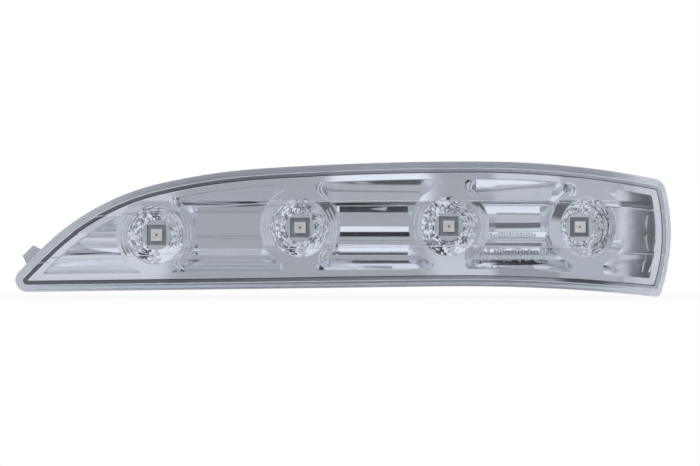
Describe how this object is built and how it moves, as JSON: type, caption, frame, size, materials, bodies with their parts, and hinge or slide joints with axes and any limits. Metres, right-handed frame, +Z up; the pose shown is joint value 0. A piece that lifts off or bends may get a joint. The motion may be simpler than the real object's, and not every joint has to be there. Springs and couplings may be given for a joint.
{
  "type": "vehicle indicator lamp",
  "caption": "Slim curved turn signal lamp with a clear banded lens over a metallised reflector, dish light units and a rear plug socket.",
  "frame": {"origin": "centre of the main screw boss, on its end face at the back of the housing", "axes": "+Y out of the back along the screw bosses, +X along the lamp from the pointed end to the blunt end, +Z up"},
  "size_m": [0.2031, 0.0426, 0.0419],
  "materials": {
    "clear_lens": "clear gloss",
    "housing_plastic": "satin moulded",
    "metallised_plastic": "vacuum metallised",
    "circuit_board": "satin solder mask",
    "flex_film": "polyimide film",
    "led_resin": "clear resin",
    "led_case": "matte",
    "terminal_brass": "tinned brass",
    "screw_steel": "zinc plated",
    "vent_film": "white membrane",
    "capacitor_can": "satin",
    "component_case": "matte moulded"
  },
  "bodies": {
    "root": {"board_screws": "screw_steel", "capacitor": "capacitor_can", "diode": "component_case", "flex_link": "flex_film", "led_1": "led_case", "led_1_window": "led_resin", "led_2": "led_case", "led_2_window": "led_resin", "led_3": "led_case", "led_3_window": "led_resin", "led_4": "led_case", "led_4_window": "led_resin", "main_board": "circuit_board", "outer_lens": "clear_lens", "rear_housing": "housing_plastic", "reflector": "metallised_plastic", "resistor_1": "component_case", "resistor_2": "component_case", "resistor_3": "component_case", "resistor_4": "component_case", "side_board": "circuit_board", "terminal_pin_1": "terminal_brass", "terminal_pin_2": "terminal_brass", "vent_patch": "vent_film"}
  },
  "joints": []
}
